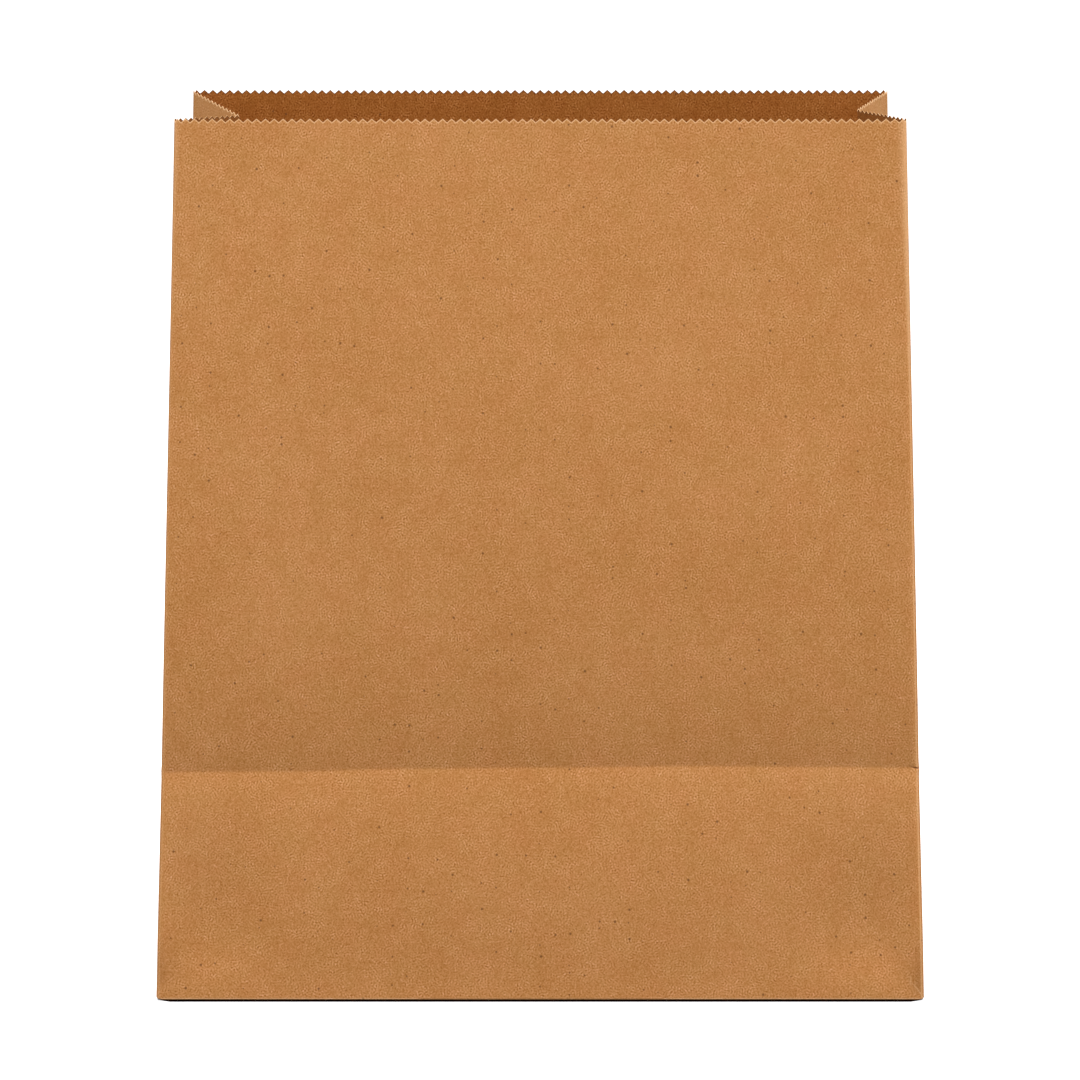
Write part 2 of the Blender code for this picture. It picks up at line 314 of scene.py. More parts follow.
# Sizes that shape the sheet but that nobody would change
EDGE_BOW = 0.0003
MIDDLE_FOLD_ROUND = 0.0009
BOTTOM_FOLD_ROUND = 0.0006
CREASE_FLARE = 0.0003
CREASE_NOTCH = 0.0016

# Heights by which the crease wanders off its level, along the front, in metres
CREASE_WANDER = (
    (-0.152, -0.0016),
    (-0.142, -0.0012),
    (-0.1, -0.001),
    (-0.055, 0.0),
    (0.0, 0.0005),
    (0.06, 0.0011),
    (0.12, 0.0008),
    (0.144, 0.0004),
    (0.152, -0.0006),
)

# Soft swellings of the panels: panel, share of its width, length up it, half width, half height, amount
SWELLINGS = (
    (FRONT, 0.5, 0.24, 0.11, 0.09, 0.0012),
    (FRONT, 0.22, 0.19, 0.035, 0.05, -0.0006),
    (FRONT, 0.78, 0.27, 0.04, 0.05, -0.0006),
    (FRONT, 0.5, 0.045, 0.11, 0.03, 0.0008),
    (FRONT, 0.94, 0.03, 0.028, 0.03, -0.0023),
    (FRONT, 0.06, 0.034, 0.024, 0.032, -0.0019),
    (BACK, 0.35, 0.2, 0.06, 0.1, 0.0014),
    (BACK, 0.75, 0.27, 0.05, 0.07, -0.001),
    (RIGHT_FRONT, 0.5, 0.22, 0.03, 0.07, 0.0008),
    (RIGHT_BACK, 0.45, 0.2, 0.03, 0.08, -0.0008),
    (LEFT_FRONT, 0.5, 0.2, 0.03, 0.08, -0.0006),
    (LEFT_BACK, 0.5, 0.24, 0.03, 0.07, 0.0008),
)

# Bulges above the front corners: side, a point of the line that each starts from as its distance in
# from the side and its height, the angle that the bulge faces away from the line, and its amount
CORNER_BULGES = (
    (1.0, 0.0042, 0.006, 0.72, 0.0042),
    (-1.0, 0.002, 0.008, 1.3, 0.0022),
)


def grid_faces(rows, columns, first=0, closed=False):
    """Vertex numbers of the quads of a grid that is stored row by row."""
    row = np.arange(rows - 1)[:, None] * columns
    here = np.arange(columns if closed else columns - 1)[None, :]
    there = (here + 1) % columns
    quads = np.stack([row + here, row + there, row + columns + there, row + columns + here], axis=-1)
    return first + quads.reshape(-1, 4)


def paper_mesh(name, points, faces, flat, cut):
    """A mesh of quads with the flat sheet's lengths as its UV map and the distance to the cut."""
    mesh = bpy.data.meshes.new(name)
    mesh.from_pydata(points.tolist(), [], faces.tolist())
    loops = faces.reshape(-1)
    layer = mesh.uv_layers.new(name="flat_sheet")
    layer.data.foreach_set("uv", flat[loops].astype(np.float32).reshape(-1))
    attribute = mesh.attributes.new("from_cut", "FLOAT", "POINT")
    attribute.data.foreach_set("value", cut.astype(np.float32))
    mesh.shade_smooth()
    mesh.update()
    return mesh


def thick_piece(name, mesh, thickness, materials):
    """Gives a sheet its thickness inwards, then keeps the result as the piece's own mesh."""
    drawn = bpy.data.objects.new(name + "_drawn", mesh)
    bpy.context.scene.collection.objects.link(drawn)
    for material in materials:
        mesh.materials.append(material)
    solidify = drawn.modifiers.new("paper", "SOLIDIFY")
    solidify.thickness = thickness
    solidify.offset = -1
    solidify.use_even_offset = True
    solidify.material_offset = 1
    solidify.material_offset_rim = 2
    graph = bpy.context.evaluated_depsgraph_get()
    finished = bpy.data.meshes.new_from_object(drawn.evaluated_get(graph))
    finished.name = name
    finished.set_sharp_from_angle(angle=SHARP_ANGLE)
    bpy.data.objects.remove(drawn, do_unlink=True)
    bpy.data.meshes.remove(mesh)
    piece = bpy.data.objects.new(name, finished)
    bpy.context.scene.collection.objects.link(piece)
    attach(piece, "root")
    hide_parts("paper_bag")
    return piece


# Shader helpers


def value_node(tree, operation, first, second=None, clamp=False):
    """A Math node on sockets or numbers, and its output."""
    node = tree.nodes.new("ShaderNodeMath")
    node.operation = operation
    node.use_clamp = clamp
    for socket, source in zip(node.inputs, (first, second)):
        feed(tree, socket, source)
    return node.outputs[0]


def vector_node(tree, operation, first, second=None):
    """A Vector Math node on sockets or vectors, and its vector output."""
    node = tree.nodes.new("ShaderNodeVectorMath")
    node.operation = operation
    for socket, source in zip(node.inputs, (first, second)):
        feed(tree, socket, source)
    return node.outputs[0]


def feed(tree, socket, source):
    if source is None:
        return
    if isinstance(source, bpy.types.NodeSocket):
        tree.links.new(source, socket)
    else:
        socket.default_value = source


def remap(tree, value, low, high, to_low=0.0, to_high=1.0):
    """A smooth step from low to high."""
    node = tree.nodes.new("ShaderNodeMapRange")
    node.interpolation_type = "SMOOTHSTEP"
    for socket, source in zip(node.inputs, (value, low, high, to_low, to_high)):
        feed(tree, socket, source)
    return node.outputs[0]


def tint(tree, blend, factor, first, second):
    """A colour Mix node, and its colour output."""
    node = tree.nodes.new("ShaderNodeMix")
    node.data_type = "RGBA"
    node.blend_type = blend
    feed(tree, node.inputs[0], factor)
    feed(tree, node.inputs[6], first)
    feed(tree, node.inputs[7], second)
    return node.outputs[2]


def noise(tree, vector, scale, detail, roughness=0.5):
    node = tree.nodes.new("ShaderNodeTexNoise")
    node.noise_dimensions = "2D"
    feed(tree, node.inputs["Vector"], vector)
    node.inputs["Scale"].default_value = scale
    node.inputs["Detail"].default_value = detail
    node.inputs["Roughness"].default_value = roughness
    return node.outputs["Fac"]


def wisps(tree, vector, scale, frequency):
    """Gabor noise: short parallel strokes in patches that lie every way."""
    node = tree.nodes.new("ShaderNodeTexGabor")
    node.gabor_type = "2D"
    feed(tree, node.inputs["Vector"], vector)
    node.inputs["Scale"].default_value = scale
    node.inputs["Frequency"].default_value = frequency
    node.inputs["Anisotropy"].default_value = 0.0
    return node.outputs["Value"]


def new_group(name, inputs, outputs):
    """A shader node group with named sockets; inputs are (name, socket type, default)."""
    tree = bpy.data.node_groups.new(name, "ShaderNodeTree")
    for socket_name, kind, default in inputs:
        socket = tree.interface.new_socket(socket_name, in_out="INPUT", socket_type=kind)
        if default is not None:
            socket.default_value = default
    for socket_name, kind in outputs:
        tree.interface.new_socket(socket_name, in_out="OUTPUT", socket_type=kind)
    return tree, tree.nodes.new("NodeGroupInput").outputs, tree.nodes.new("NodeGroupOutput").inputs


def use_group(tree, group, **values):
    node = tree.nodes.new("ShaderNodeGroup")
    node.node_tree = group
    for name, source in values.items():
        feed(tree, node.inputs[name], source)
    return node.outputs


def fibre_group():
    """Short straight fibres lying every way, one at most in each cell of a Voronoi pattern."""
    tree, given, result = new_group(
        "loose_fibres",
        [
            ("Sheet", "NodeSocketVector", None),
            ("Cells", "NodeSocketFloat", 800.0),
            ("Shift", "NodeSocketFloat", 0.0),
            ("Length", "NodeSocketFloat", 0.45),
            ("Width", "NodeSocketFloat", 0.08),
            ("Presence", "NodeSocketFloat", 0.6),
        ],
        [("Fibre", "NodeSocketFloat")],
    )
    combine = tree.nodes.new("ShaderNodeCombineXYZ")
    for socket in (combine.inputs[0], combine.inputs[1]):
        feed(tree, socket, given["Cells"])
    place = vector_node(tree, "MULTIPLY", given["Sheet"], combine.outputs[0])
    offset = tree.nodes.new("ShaderNodeCombineXYZ")
    feed(tree, offset.inputs[0], given["Shift"])
    feed(tree, offset.inputs[1], value_node(tree, "MULTIPLY", given["Shift"], 1.7))
    place = vector_node(tree, "ADD", place, offset.outputs[0])
    cells = tree.nodes.new("ShaderNodeTexVoronoi")
    cells.voronoi_dimensions = "2D"
    cells.inputs["Scale"].default_value = 1.0
    feed(tree, cells.inputs["Vector"], place)
    local = vector_node(tree, "SUBTRACT", place, cells.outputs["Position"])
    chance = tree.nodes.new("ShaderNodeSeparateColor")
    feed(tree, chance.inputs[0], cells.outputs["Color"])
    turn = tree.nodes.new("ShaderNodeVectorRotate")
    turn.rotation_type = "Z_AXIS"
    feed(tree, turn.inputs["Vector"], local)
    feed(tree, turn.inputs["Angle"], value_node(tree, "MULTIPLY", chance.outputs[0], math.tau))
    split = tree.nodes.new("ShaderNodeSeparateXYZ")
    feed(tree, split.inputs[0], turn.outputs[0])
    along, across = split.outputs[0], split.outputs[1]
    bow = value_node(tree, "MULTIPLY", value_node(tree, "MULTIPLY", along, along), 0.5)
    across = value_node(tree, "ABSOLUTE", value_node(tree, "SUBTRACT", across, bow))
    wide = remap(tree, across, given["Width"], 0.0)
    end = value_node(tree, "MULTIPLY", given["Length"], 0.6)
    long = remap(tree, value_node(tree, "ABSOLUTE", along), given["Length"], end)
    there = value_node(tree, "LESS_THAN", chance.outputs[1], given["Presence"])
    strength = mix_value(tree, 0.4, 1.0, chance.outputs[2])
    fibre = value_node(tree, "MULTIPLY", value_node(tree, "MULTIPLY", wide, long), there)
    feed(tree, result["Fibre"], value_node(tree, "MULTIPLY", fibre, strength))
    return tree


def mix_value(tree, start, end, share):
    node = tree.nodes.new("ShaderNodeMapRange")
    for socket, source in zip(node.inputs, (share, 0.0, 1.0, start, end)):
        feed(tree, socket, source)
    return node.outputs[0]


# Fibre layers: cells per metre, half length and half width in cells, presence, shift, and tone
FIBRES = (
    (430.0, 0.47, 0.085, 0.6, 3.1, 0.34),
    (700.0, 0.46, 0.12, 0.5, 11.7, 0.32),
    (520.0, 0.42, 0.09, 0.5, 37.3, -0.34),
    (900.0, 0.36, 0.15, 0.4, 43.7, -0.36),
)
# Strokes: patches of them per metre, strokes across each, and tone
WISPS = (460.0, 1.9, 0.4)
# How strongly each colour channel answers to the tone, so that darker pulp is also redder
TONE_POWERS = (0.8, 1.22, 2.3)
# How far each channel leans to and fro with the hue of the pulp
HUE_LEANS = (0.022, -0.026, 0.006)


def pulp_group(fibres):
    """Unbleached kraft pulp: clouds, light and dark fibres lying every way, and bark specks.

    All but the specks add up to one tone, and each colour channel is the paper's own times the tone
    to its own power.
    """
    tree, given, result = new_group(
        "kraft_pulp",
        [
            ("Sheet", "NodeSocketVector", None),
            ("Paper", "NodeSocketColor", (0.5, 0.24, 0.08, 1.0)),
            ("Speck", "NodeSocketColor", (0.25, 0.1, 0.03, 1.0)),
            ("Amount", "NodeSocketFloat", 1.0),
        ],
        [("Color", "NodeSocketColor"), ("Height", "NodeSocketFloat")],
    )
    sheet = given["Sheet"]
    cloud = noise(tree, sheet, 120.0, 3.0, 0.6)
    broad = noise(tree, vector_node(tree, "ADD", sheet, (3.7, 1.9, 0.0)), 22.0, 2.0)
    grain = noise(tree, vector_node(tree, "ADD", sheet, (7.3, 5.1, 0.0)), 700.0, 2.0, 0.7)
    tone = value_node(tree, "ADD", mix_value(tree, -0.1, 0.1, cloud), mix_value(tree, -0.07, 0.07, broad))
    tone = value_node(tree, "ADD", tone, mix_value(tree, -0.2, 0.2, grain))
    scale, frequency, amount = WISPS
    strokes = mix_value(tree, -amount, amount, wisps(tree, sheet, scale, frequency))
    patches = remap(tree, cloud, 0.3, 0.7, 0.5, 1.5)
    tone = value_node(tree, "ADD", tone, value_node(tree, "MULTIPLY", strokes, patches))
    height = value_node(tree, "MULTIPLY", grain, 0.5)
    for cells, length, width, presence, shift, amount in FIBRES:
        values = {"Sheet": sheet, "Cells": cells, "Length": length, "Width": width}
        fibre = use_group(tree, fibres, **values, Presence=presence, Shift=shift)["Fibre"]
        tone = value_node(tree, "ADD", tone, value_node(tree, "MULTIPLY", fibre, amount))
    tone = value_node(tree, "ADD", value_node(tree, "MULTIPLY", tone, given["Amount"]), 1.0)
    tone = value_node(tree, "MAXIMUM", tone, 0.3)
    channels = tree.nodes.new("ShaderNodeCombineColor")
    hue = noise(tree, vector_node(tree, "ADD", sheet, (1.3, 8.9, 0.0)), 75.0, 2.0)
    for socket, power, lean in zip(channels.inputs, TONE_POWERS, HUE_LEANS):
        leaning = mix_value(tree, 1 - lean, 1 + lean, hue)
        toned = value_node(tree, "POWER", tone, power)
        feed(tree, socket, value_node(tree, "MULTIPLY", toned, leaning))
    colour = tint(tree, "MULTIPLY", 1.0, given["Paper"], channels.outputs[0])
    specks = tree.nodes.new("ShaderNodeTexVoronoi")
    specks.voronoi_dimensions = "2D"
    specks.inputs["Scale"].default_value = 170.0
    feed(tree, specks.inputs["Vector"], sheet)
    chance = tree.nodes.new("ShaderNodeSeparateColor")
    feed(tree, chance.inputs[0], specks.outputs["Color"])
    rare = value_node(tree, "SUBTRACT", chance.outputs[0], 0.5, clamp=True)
    size = value_node(tree, "MULTIPLY", value_node(tree, "POWER", rare, 2.5), 0.7)
    heart = value_node(tree, "MULTIPLY", size, 0.4)
    speck = value_node(tree, "MULTIPLY", remap(tree, specks.outputs["Distance"], size, heart), 0.8)
    feed(tree, result["Color"], tint(tree, "MIX", speck, colour, given["Speck"]))
    feed(tree, result["Height"], height)
    return tree


def gusset_lines(tree, split, sheet):
    """A mask of the gussets' folds: up their middle above the crease's height, and the two 45 degree
    folds that lead from there to the bottom corners."""
    middles = (sheet.panel_starts[RIGHT_BACK], sheet.panel_starts[LEFT_FRONT])
    from_middle = [
        value_node(tree, "ABSOLUTE", value_node(tree, "SUBTRACT", split.outputs[0], float(middle)))
        for middle in middles
    ]
    from_middle = value_node(tree, "MINIMUM", *from_middle)
    upper = remap(tree, split.outputs[1], sheet.crease, sheet.crease + 0.002)
    upright = value_node(tree, "MULTIPLY", remap(tree, from_middle, 0.0009, 0.0), upper)
    across = value_node(tree, "SUBTRACT", value_node(tree, "ADD", from_middle, split.outputs[1]), sheet.crease)
    diagonal = remap(tree, value_node(tree, "ABSOLUTE", across), 0.0011, 0.0)
    return value_node(tree, "MULTIPLY", value_node(tree, "MAXIMUM", upright, diagonal), 0.16)


def fold_lines(tree, sheet_map, sheet):
    """A mask of lighter lines: worn along the gussets' folds and the bottom fold, strips of painted
    highlight up the front beside its two upright folds, and a lighter line slanting up from its right
    bottom corner."""
    width = sheet.width
    split = tree.nodes.new("ShaderNodeSeparateXYZ")
    feed(tree, split.inputs[0], sheet_map)
    total = gusset_lines(tree, split, sheet)
    opened = remap(tree, split.outputs[1], 0.285, 0.345, 1.0, 4.4)
    flared = remap(tree, split.outputs[1], 0.22, 0.36, 1.0, 6.2)
    # The bottom fold's worn line, then strips of painted highlight beside the front's right and left upright folds,
    # each widening towards the mouth
    for output, place, half, strength, spread in (
        (split.outputs[1], 0.0004, 0.0008, 0.2, 1.0),
        (split.outputs[0], width - 0.0004, 0.0009, 0.42, flared),
        (split.outputs[0], 0.0002, 0.0009, 0.24, opened),
    ):
        away = value_node(tree, "ABSOLUTE", value_node(tree, "SUBTRACT", output, place))
        away = value_node(tree, "DIVIDE", away, spread)
        line = value_node(tree, "MULTIPLY", remap(tree, away, half, 0.0), strength)
        total = value_node(tree, "MAXIMUM", total, line)
    hand, inward, height, slant, amount = CORNER_BULGES[0]
    beside = value_node(tree, "SUBTRACT", split.outputs[0], width - inward)
    above = value_node(tree, "SUBTRACT", split.outputs[1], height)
    away = value_node(
        tree,
        "ADD",
        value_node(tree, "MULTIPLY", beside, math.cos(slant)),
        value_node(tree, "MULTIPLY", above, math.sin(slant)),
    )
    line = remap(tree, value_node(tree, "ABSOLUTE", away), 0.0005, 0.0)
    outer = remap(tree, beside, -0.001, 0.001, 0.0, 0.55)
    slanting = value_node(tree, "MULTIPLY", line, outer)
    upright = value_node(tree, "ABSOLUTE", value_node(tree, "SUBTRACT", split.outputs[0], width - 0.0054))
    upright = remap(tree, upright, 0.0005, 0.0, 0.0, 0.35)
    beyond = value_node(tree, "ABSOLUTE", value_node(tree, "SUBTRACT", split.outputs[1], 0.0078))
    upright = value_node(tree, "MULTIPLY", upright, remap(tree, beyond, 0.0028, 0.0012))
    return value_node(tree, "MAXIMUM", total, value_node(tree, "MAXIMUM", slanting, upright))


def paper_material(name, pulp_tree, colours, face, amount, edge, fray_and_shade_share, folded=None):
    """Matt kraft paper. Its colour turns to the edge's in a line beside the cut: pale ragged fibres on the
    outer face, painted shade on the inner face. Given the folded sheet, it also turns to the cut edge's
    colour in lines along folds and the seam's edge, and in strips of painted highlight beside the
    front's upright folds.
    """
    material = bpy.data.materials.new(name)
    material.use_nodes = True
    tree = material.node_tree
    shader = tree.nodes["Principled BSDF"]
    shader.inputs["Roughness"].default_value = 0.7
    shader.inputs["Specular IOR Level"].default_value = 0.12
    sheet = tree.nodes.new("ShaderNodeUVMap")
    sheet.uv_map = "flat_sheet"
    pulp = use_group(
        tree,
        pulp_tree,
        Sheet=sheet.outputs[0],
        Paper=(*face, 1.0),
        Speck=(*colours.speck, 1.0),
        Amount=amount,
    )
    from_cut = tree.nodes.new("ShaderNodeAttribute")
    from_cut.attribute_name = "from_cut"
    ragged = mix_value(tree, -0.0001, 0.0001, noise(tree, sheet.outputs[0], 2400.0, 2.0))
    # Beside the cut: pale fibres on the outer face; on the inner face a painted shade that darkens the teeth towards
    # the specks' colour
    fray_and_shade = remap(tree, value_node(tree, "ADD", from_cut.outputs["Fac"], ragged), 0.00065, 0.0003)
    fray_and_shade = value_node(tree, "MULTIPLY", fray_and_shade, fray_and_shade_share)
    colour = tint(tree, "MIX", fray_and_shade, pulp["Color"], (*edge, 1.0))
    if folded:
        # Lines in the cut edge's colour: along worn folds, along the seam's edge, and strips of painted highlight
        # beside the front's upright folds
        pale_lines_and_highlight = fold_lines(tree, sheet.outputs[0], folded)
        seam = tree.nodes.new("ShaderNodeAttribute")
        seam.attribute_name = "seam_edge"
        pale_lines_and_highlight = value_node(tree, "MAXIMUM", pale_lines_and_highlight, remap(tree, seam.outputs["Fac"], 0.7, 1.0, 0.0, 0.6))
        colour = tint(tree, "MIX", pale_lines_and_highlight, colour, (*colours.cut_edge, 1.0))
    feed(tree, shader.inputs["Base Color"], colour)
    bump = tree.nodes.new("ShaderNodeBump")
    bump.inputs["Strength"].default_value = 0.35
    bump.inputs["Distance"].default_value = 0.00006
    feed(tree, bump.inputs["Height"], pulp["Height"])
    feed(tree, shader.inputs["Normal"], bump.outputs[0])
    return material


def kraft_materials(colours, folded):
    """The outer face, the inner face and the cut edge, in the order that Solidify gives them out."""
    found = [bpy.data.materials.get(name) for name in ("kraft_outside", "kraft_inside", "kraft_cut")]
    if all(found):
        return found
    pulp_tree = pulp_group(fibre_group())
    edge = colours.cut_edge
    # Painted shade: the inner face's line beside the cut takes the specks' dark colour
    painted_cut_shade = colours.speck
    return [
        paper_material("kraft_outside", pulp_tree, colours, colours.outside, 1.07, edge, 0.95, folded),
        # The inner face: the paper's colour darkened and reddened as painted shade of the bag's inside
        paper_material("kraft_inside", pulp_tree, colours, colours.inside, 1.6, painted_cut_shade, 0.7),
        paper_material("kraft_cut", pulp_tree, colours, edge, 0.6, edge, 0.0),
    ]


# Pieces


def wall_arrays(sheet):
    """Points, flat lengths and distances to the cut of the walls, row by row, and the grid's size."""
    girth = sheet.columns()
    lengths = sheet.lengths(girth)
    across = np.repeat(girth[None, :], len(lengths), axis=0)
    points = sheet.point(across, lengths)
    flat = np.stack([across, lengths], axis=-1)
    return girth, points, flat, lengths[-1][None, :] - lengths


def flap_arrays(sheet, girth, panels):
    """A bottom flap below the columns of one or two panels, from the fold's last row to its cut.

    The front and back flaps are trapezoids, whose ends are the 45 degree folds: their points lie at
    x = (2 share - 1) (half the width - depth). The side flaps are rectangles. All lie flat, the side
    flaps two plies up, and the front flap steps over the back one where they lap.
    """
    starts = sheet.panel_starts[panels[0]]
    whole = sheet.panel_widths[list(panels)].sum()
    share = (girth - starts) / whole
    half_width = sheet.width / 2
    if len(panels) == 1:
        # The teeth keep their pitch along the cut's own length.
        pitch = sheet.width / WIDE_HALF_TEETH
        end_x = (2 * share - 1) * (half_width - sheet.flap)
        zigzag = np.abs(1 - np.mod(end_x / pitch + 1, 2))
    else:
        zigzag = np.abs(1 - np.mod(share * 2 * GUSSET_HALF_TEETH, 2))
    cut = sheet.flap - sheet.tooth_depth * zigzag
    depth = np.array(FLAP_ROWS)[:, None] + 0 * cut[None, :]
    depth = np.vstack([depth, cut[None, :] - 0.0006, cut[None, :]])
    along = np.repeat(share[None, :], len(depth), axis=0)
    if len(panels) == 1:
        turn = 1 if panels[0] == FRONT else -1
        x = turn * (2 * along - 1) * (half_width - depth)
        y = turn * (depth - sheet.half_depth)
        z = sheet.sag(x, y)
        if panels[0] == FRONT:
            z = z + sheet.paper * 1.15 * eased((y + sheet.lap / 2 + 0.0022) / 0.0014)
        flat = np.stack([starts + whole / 2 + turn * x, -depth], axis=-1)
    else:
        turn = 1 if panels[0] == RIGHT_FRONT else -1
        x = turn * (half_width - depth)
        y = turn * (2 * along - 1) * sheet.half_depth
        z = 2 * sheet.paper * 1.15 + sheet.sag(x, y)
        flat = np.stack([starts + along * whole, -depth], axis=-1)
    points = np.stack([x, y, z], axis=-1)
    return points, flat, cut[None, :] - depth


def sheet_mesh(sheet):
    """The whole sheet: the closed grid of the walls, and a grid for each flap that starts from it."""
    girth, points, flat, from_cut = wall_arrays(sheet)
    rows, columns = points.shape[:2]
    parts = [points.reshape(-1, 3)]
    flats = [flat.reshape(-1, 2)]
    cuts = [from_cut.reshape(-1)]
    faces = [grid_faces(rows, columns, closed=True)]
    first = rows * columns
    for panels in ((FRONT,), (RIGHT_FRONT, RIGHT_BACK), (BACK,), (LEFT_BACK, LEFT_FRONT)):
        low = np.searchsorted(girth, sheet.panel_starts[panels[0]] - 1e-7)
        end = sheet.panel_starts[panels[-1]] + sheet.panel_widths[panels[-1]]
        high = np.searchsorted(girth, end - 1e-7)
        numbers = np.arange(low, high + 1) % columns
        girths = np.append(girth[low:high], end)
        flap, flap_flat, flap_cut = flap_arrays(sheet, girths, panels)
        depth_rows, width = flap.shape[:2]
        index = first + np.arange(depth_rows * width).reshape(depth_rows, width)
        index = np.vstack([numbers[None, :], index])
        quads = np.stack([index[1:, :-1], index[1:, 1:], index[:-1, 1:], index[:-1, :-1]], axis=-1)
        faces.append(quads.reshape(-1, 4))
        parts.append(flap.reshape(-1, 3))
        flats.append(flap_flat.reshape(-1, 2))
        cuts.append(flap_cut.reshape(-1))
        first += depth_rows * width
    faces = np.vstack(faces)
    flats = np.vstack(flats)
    return paper_mesh_closed("bag_sheet", np.vstack(parts), faces, flats, np.concatenate(cuts), sheet, columns)


def paper_mesh_closed(name, points, faces, flat, cut, sheet, columns):
    """As paper_mesh, with the flat lengths carried past the last column, where the tube closes."""
    mesh = paper_mesh(name, points, faces, flat, cut)
    uv = flat[faces]
    wide = uv[..., 0].max(axis=1) - uv[..., 0].min(axis=1)
    wraps = wide > sheet.girth / 2
    uv[wraps, :, 0] = np.where(uv[wraps, :, 0] < sheet.girth / 2, uv[wraps, :, 0] + sheet.girth, uv[wraps, :, 0])
    mesh.uv_layers["flat_sheet"].data.foreach_set("uv", uv.astype(np.float32).reshape(-1))
    return mesh


def seam_mesh(sheet, lap):
    """The glued lap down the back: a strip that follows the back panel and slants out of it."""
    middle = sheet.panel_starts[BACK] + sheet.width / 2
    pitch = sheet.width / WIDE_HALF_TEETH
    halves = round(lap / pitch)
    girth = middle + (np.arange(halves + 1) - halves / 2) * pitch
    lengths = sheet.lengths(girth, first=len(ROWS_AT_FOLD) - 1)
    lengths[-1] -= 0.0001
    across = np.repeat(girth[None, :], len(lengths), axis=0)
    points = sheet.point(across, lengths)
    share = (across - girth[0]) / (girth[-1] - girth[0])
    points[..., 1] += sheet.paper * mix(0.9, 0.1, share)
    flat = np.stack([across + 0.4, lengths], axis=-1)
    rows, columns = points.shape[:2]
    from_cut = lengths[-1][None, :] - lengths
    arrays = (points.reshape(-1, 3), grid_faces(rows, columns), flat.reshape(-1, 2), from_cut.reshape(-1))
    mesh = paper_mesh("lap_seam", *arrays)
    edge = mesh.attributes.new("seam_edge", "FLOAT", "POINT")
    edge.data.foreach_set("value", (share < 1e-6).astype(np.float32).reshape(-1))
    return mesh


def corner_fold_mesh(sheet):
    """The four triangles folded in between the flaps: depth in from the side, and a share of it."""
    reach = sheet.half_depth - sheet.lap / 2 - 0.002
    depth = np.linspace(0.003, reach, 24)[:, None]
    share = np.linspace(0.0, 1.0, 13)[None, :]
    parts = []
    faces = []
    for side in (-1, 1):
        for end in (-1, 1):
            x = side * (sheet.width / 2 - depth - 0 * share)
            inset = mix(0.0012, -0.0002, share)
            y = end * (sheet.half_depth - share * depth - inset)
            z = sheet.paper * 1.1 + sheet.sag(x, y)
            points = np.stack([x, y, z], axis=-1).reshape(-1, 3)
            quads = grid_faces(len(depth), share.shape[1], first=len(parts) * len(points))
            faces.append(quads if side * end > 0 else quads[:, ::-1])
            parts.append(points)
    points = np.vstack(parts)
    return paper_mesh("corner_folds", points, np.vstack(faces), points[:, :2] + 2.0, 0 * points[:, 0] + 1.0)


# Properties, operators and the panel


def length_property(name, description, default):
    return FloatProperty(name=name, description=description, default=default, unit="LENGTH", precision=5)


def colour_property(name, description, default):
    return FloatVectorProperty(
        name=name, description=description, default=default, subtype="COLOR", size=3, min=0.0, max=1.0
    )


class BagSizes(bpy.types.PropertyGroup):
    """Sizes of the opened bag."""

    base_width: length_property("Base width", "Width of the block bottom", 0.3051)
    base_depth: length_property("Base depth", "Front to back of the block bottom", 0.184)
    panel_length: length_property("Panel length", "Paper from the bottom fold to the mouth", 0.3496)
    mouth_width: length_property("Mouth width", "Width of the front at the mouth, before its folds are bent round", 0.2897)
    mouth_rise: length_property("Mouth rise", "How much the paper behind stands above that in front", 0.0005)
    mouth_set_back: length_property("Mouth set-back", "How far the front leans back at the mouth", 0.019)
    crease_set_back: length_property("Crease set-back", "How far back the crease lies", 0.006)
    paper: length_property("Paper thickness", "Thickness of the kraft paper", 0.00018)
    fold_round: length_property("Fold reach", "Paper to each side of an upright fold that bends", 0.0031)
    tooth_depth: length_property("Tooth depth", "Depth of the serrated cut", 0.0015)
    bottom_lap: length_property("Bottom lap", "Overlap of the front and back flaps", 0.026)
    seam_lap: length_property("Seam lap", "Width of the glued lap down the back", 0.022)
    edge_lift: length_property("Edge lift", "How far the bottom edges stand off the floor, above the sagging base", 0.0009)
    tuck_left: length_property("Left tuck", "How far in the left gusset's fold is at the mouth", 0.023)
    tuck_right: length_property("Right tuck", "How far in the right gusset's fold is at the mouth", 0.0165)
    slope_above_crease: FloatProperty(
        name="Slope above crease", description="Extra forward lean just above the crease", default=0.2
    )
    slope_below_crease: FloatProperty(
        name="Slope below crease", description="Extra backward lean just below the crease", default=0.16
    )


class BagColours(bpy.types.PropertyGroup):
    """Colours of the kraft paper."""

    outside: colour_property("Outside", "Outer face of the paper", (0.52, 0.227, 0.07))
    # The paper's own colour, darkened and reddened as painted shade of the bag's inside
    inside: colour_property("Inside", "Inner face of the paper", (0.362, 0.117, 0.0195))
    # Also the colour of the strips of painted highlight beside the front's upright folds
    cut_edge: colour_property("Cut edge", "Pale fibres along the cut", (0.8, 0.46, 0.22))
    # Also the colour of the painted shade beside the cut on the inner face
    speck: colour_property("Specks", "Bark specks in the pulp", (0.16, 0.055, 0.015))


